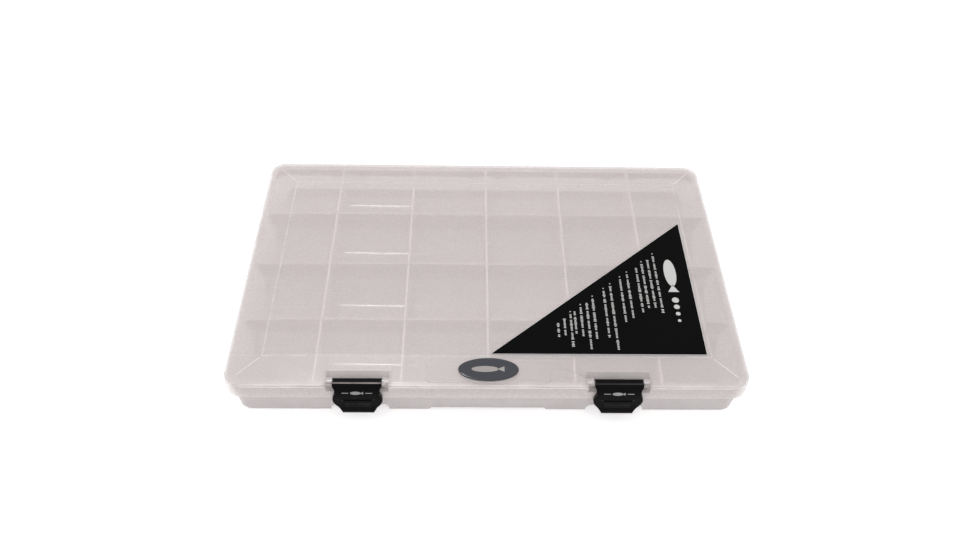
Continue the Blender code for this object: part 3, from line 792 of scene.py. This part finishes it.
@dataclass
class Label:
    """The triangular label: pale backing, black film and plain printed marks."""

    backing_rise: float = 0.1 * MM
    film_inset: float = 0.28 * MM
    ink_rise: float = 0.04 * MM
    # The lines start this far in front of the sloping edge.
    margin: float = 15.0 * MM
    letter: float = 0.8 * MM
    letter_pitch: float = 1.3 * MM
    line_height: float = 2.4 * MM
    line_pitch: float = 4.7 * MM
    letter_shares: tuple[float, ...] = (0.55, 0.6, 0.6, 0.85)
    word_letters: tuple[int, int] = (3, 9)
    # The block before each paragraph: its size and its distance behind the line's start.
    bullet: float = 0.9 * MM
    bullet_gap: float = 3 * MM
    mark: FishMark = field(default_factory=lambda: FishMark(34 * MM, 9 * MM, 0.04 * MM))
    mark_at: tuple[float, float] = (137 * MM, -14 * MM)
    # The dots in front of the mark: their number, sides, first radius and its loss at each,
    # in millimetres, then the Y of the first and the step to the next.
    dots: int = 4
    dot_sides: int = 18
    dot_radius: tuple[float, float] = (2.6, 0.45)
    dot_y: float = -38 * MM
    dot_pitch: float = 6.5 * MM
    seed: int = 7
    # Each paragraph: the X of its first line, and the length of each line, in millimetres.
    paragraphs: tuple = ((126.3, (57, 48)), (116.7, (44, 45)), (104.3, (42,)), (98.6, (41,)),
                         (90.5, (60,)), (85.2, (43,)), (76.4, (37, 43)), (67.0, (27, 20)),
                         (59.2, (29, 15, 13)))

    def corners(self, inset: float) -> list[Vector]:
        """List the label's three corners, drawn in by an inset.

        Args:
            inset: How far each side moves in.

        Returns:
            The corners: left tip, right corner, rear tip.
        """
        low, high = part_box("corner_label")
        width, depth = high[0] - low[0], high[1] - low[1]
        slope = math.hypot(width, depth)
        left = inset * (slope + width) / depth
        rear = inset * (slope + depth) / width
        return [Vector((low[0] + left, low[1] + inset, 0)),
                Vector((high[0] - inset, low[1] + inset, 0)),
                Vector((high[0] - inset, high[1] - rear, 0))]

    def edge_y(self, x: float) -> float:
        """Return where the label's sloping edge is at an X."""
        low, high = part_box("corner_label")
        return low[1] + (x - low[0]) * (high[1] - low[1]) / (high[0] - low[0])

    def build(self) -> None:
        """Build the backing, the film and the print."""
        low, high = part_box("corner_label")
        middle = low[2] + self.backing_rise
        backing = slab(self.corners(0.0), low[2], middle)
        make_piece("label_backing_sheet", backing, LABEL_BACKING, "lid")
        film = slab(self.corners(self.film_inset), middle, high[2])
        make_piece("label_film_sheet", film, LABEL_BLACK, "lid", ("corner_label",))
        self.build_print(high[2])

    def build_print(self, top: float) -> None:
        """Print the plain mark and the rows of ticks that stand for text.

        Args:
            top: The film's height.
        """
        turn = Matrix.Rotation(math.radians(-90), 4, "Z")
        place = Matrix.Translation((*self.mark_at, top)) @ turn
        bm = self.mark.mesh(place)
        first_radius, loss = self.dot_radius
        for step in range(self.dots):
            made = bmesh.ops.create_circle(bm, cap_ends=True, segments=self.dot_sides,
                                           radius=(first_radius - loss * step) * MM)
            y = self.dot_y - self.dot_pitch * step
            bmesh.ops.translate(bm, verts=made["verts"],
                                vec=(self.mark_at[0], y, top + self.ink_rise))
        dice = random.Random(self.seed)
        for first, lengths in self.paragraphs:
            for row, length in enumerate(lengths):
                x = first * MM - row * self.line_pitch
                start = self.edge_y(x) - self.margin
                if row == 0:
                    at = Vector((x, start + self.bullet_gap, top))
                    self.tick(bm, at, self.bullet, self.bullet)
                self.print_line(bm, dice, Vector((x, start, top)), length * MM)
        make_piece("label_print_ink", bm, LABEL_INK, "lid")

    def tick(self, bm: bmesh.types.BMesh, at: Vector, long: float, tall: float) -> None:
        """Print one small block.

        Args:
            bm: The print's mesh.
            at: The block's middle, on the film.
            long: Its size along the line.
            tall: Its size across the line.
        """
        made = bmesh.ops.create_grid(bm, x_segments=1, y_segments=1, size=0.5)
        bmesh.ops.scale(bm, verts=made["verts"], vec=(tall, long, 1.0))
        bmesh.ops.translate(bm, verts=made["verts"], vec=at + Vector((0, 0, self.ink_rise)))

    def print_line(self, bm: bmesh.types.BMesh, dice: random.Random, start: Vector,
                   length: float) -> None:
        """Print one line of ticks in word-like groups, running towards -Y.

        Args:
            bm: The print's mesh.
            dice: The seeded source of word lengths.
            start: Where the line begins.
            length: How long it is.
        """
        gone = 0.0
        while gone < length:
            left = int((length - gone) / self.letter_pitch) + 1
            for _ in range(min(dice.randint(*self.word_letters), left)):
                tall = self.line_height * dice.choice(self.letter_shares)
                at = start - Vector((0, gone, 0))
                self.tick(bm, at, self.letter, tall)
                gone += self.letter_pitch
            gone += self.letter_pitch


@dataclass
class Badge:
    """The oval badge: a resin dome with the plain mark on it."""

    sides: int = 64
    rim: float = 0.45 * MM
    # The dome's reach in from the rim, and the number of its rings.
    dome: float = 1.6 * MM
    dome_steps: int = 4
    mark: FishMark = field(default_factory=lambda: FishMark(23 * MM, 5 * MM, 0.05 * MM))

    def build(self) -> None:
        """Build the dome and its mark."""
        low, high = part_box("oval_badge")
        middle = (Vector(low) + Vector(high)) / 2
        half_x, half_y = (high[0] - low[0]) / 2, (high[1] - low[1]) / 2
        bm = bmesh.new()
        made = bmesh.ops.create_circle(bm, cap_ends=True, segments=self.sides, radius=1.0)
        bmesh.ops.scale(bm, verts=made["verts"], vec=(half_x, half_y, 1.0))
        bmesh.ops.translate(bm, verts=made["verts"], vec=(middle.x, middle.y, low[2]))
        bm.faces.ensure_lookup_table()
        grown = bmesh.ops.extrude_face_region(bm, geom=[bm.faces[0]])
        top = [item for item in grown["geom"] if isinstance(item, bmesh.types.BMFace)][0]
        rim = [item for item in grown["geom"] if isinstance(item, bmesh.types.BMVert)]
        bmesh.ops.translate(bm, verts=rim, vec=(0, 0, self.rim))
        rise = high[2] - low[2] - self.rim - self.mark.thickness
        for step in range(self.dome_steps):
            start, end = (math.pi / 2 * n / self.dome_steps for n in (step, step + 1))
            share = math.cos(start) - math.cos(end)
            lift = math.sin(end) - math.sin(start)
            bmesh.ops.inset_region(bm, faces=[top], thickness=self.dome * share, depth=0.0)
            bmesh.ops.translate(bm, verts=list(top.verts), vec=(0, 0, rise * lift))
        bmesh.ops.recalc_face_normals(bm, faces=bm.faces)
        make_piece("badge_dome", bm, BADGE_RESIN, "lid", ("oval_badge",))
        place = Matrix.Translation((middle.x, middle.y, high[2] - self.mark.thickness))
        make_piece("badge_mark", self.mark.mesh(place), BADGE_INK, "lid")


@dataclass
class Studio:
    """The camera, the pale floor and the soft light."""

    # The camera's angles in radians, and its lens and sensor in millimetres.
    pitch: float = 0.8176548
    yaw: float = -0.0373860
    roll: float = 0.0344060
    lens: float = 32.99
    sensor: float = 36.0
    nearest: float = 0.01
    camera_at: Vector = field(default_factory=lambda: Vector((-0.015625, -0.469245, 0.520199)))
    floor_half: float = 4.0
    floor_drop: float = 0.2 * MM
    floor_white: Rgb = (0.96, 0.96, 0.96)
    floor_glow: float = 0.4
    floor_rough: float = 0.9
    floor_shine: float = 0.1
    sky: float = 1.0
    lamp_at: Vector = field(default_factory=lambda: Vector((-0.2, 0.35, 1.1)))
    lamp_size: tuple[float, float] = (0.16, 0.08)
    lamp_power: float = 4.0

    def build(self) -> None:
        """Set up the camera, floor, world and lamp."""
        self.set_camera()
        self.lay_floor()
        self.light_sky()
        self.hang_lamp()
        bpy.context.scene.view_settings.view_transform = "Standard"
        LOG.info("studio ready")

    def set_camera(self) -> None:
        """Place the camera in front of and above the box, tilted down at the lid."""
        data = bpy.data.cameras.new("camera")
        data.sensor_width = self.sensor
        data.lens = self.lens
        data.clip_start = self.nearest
        obj = bpy.data.objects.new("camera", data)
        bpy.context.scene.collection.objects.link(obj)
        aim = Matrix.Rotation(self.yaw, 4, "Z")
        aim = aim @ Matrix.Rotation(math.pi / 2 - self.pitch, 4, "X")
        aim = aim @ Matrix.Rotation(self.roll, 4, "Z")
        obj.matrix_world = Matrix.Translation(self.camera_at) @ aim
        bpy.context.scene.camera = obj

    def lay_floor(self) -> None:
        """Lay the pale floor just under the box."""
        bm = bmesh.new()
        bmesh.ops.create_grid(bm, x_segments=1, y_segments=1, size=self.floor_half)
        mesh = bpy.data.meshes.new("floor")
        bm.to_mesh(mesh)
        bm.free()
        floor = bpy.data.objects.new("floor", mesh)
        bpy.context.scene.collection.objects.link(floor)
        floor.location.z = -self.floor_drop
        paint = bpy.data.materials.new("floor_white")
        paint.use_nodes = True
        shader = paint.node_tree.nodes["Principled BSDF"]
        shader.inputs["Base Color"].default_value = (*self.floor_white, 1.0)
        shader.inputs["Roughness"].default_value = self.floor_rough
        shader.inputs["Specular IOR Level"].default_value = self.floor_shine
        shader.inputs["Emission Color"].default_value = (1.0, 1.0, 1.0, 1.0)
        shader.inputs["Emission Strength"].default_value = self.floor_glow
        mesh.materials.append(paint)

    def light_sky(self) -> None:
        """Light the scene evenly from all round."""
        world = bpy.data.worlds.new("studio")
        world.use_nodes = True
        background = world.node_tree.nodes["Background"]
        background.inputs["Color"].default_value = (1.0, 1.0, 1.0, 1.0)
        background.inputs["Strength"].default_value = self.sky
        bpy.context.scene.world = world

    def hang_lamp(self) -> None:
        """Hang one soft lamp above and behind the box, facing it."""
        data = bpy.data.lights.new("lamp", "AREA")
        data.shape = "RECTANGLE"
        data.size, data.size_y = self.lamp_size
        data.energy = self.lamp_power
        obj = bpy.data.objects.new("lamp", data)
        bpy.context.scene.collection.objects.link(obj)
        obj.location = self.lamp_at
        obj.rotation_euler = (-self.lamp_at).to_track_quat("-Z", "Y").to_euler()


def main() -> None:
    """Build and dress every piece."""
    logging.basicConfig(level=logging.INFO, format="%(name)s: %(message)s")
    Studio().build()
    Tray().build()
    DividerSet().build()
    Lid().build()
    # The left latch's top edge gets a strong painted highlight, the right one's a faint one.
    Latch("left", top_edge_highlight=1.0).build()
    Latch("right", top_edge_highlight=0.1).build()
    PinSet().build()
    Label().build()
    Badge().build()


if __name__ == "__main__":
    main()
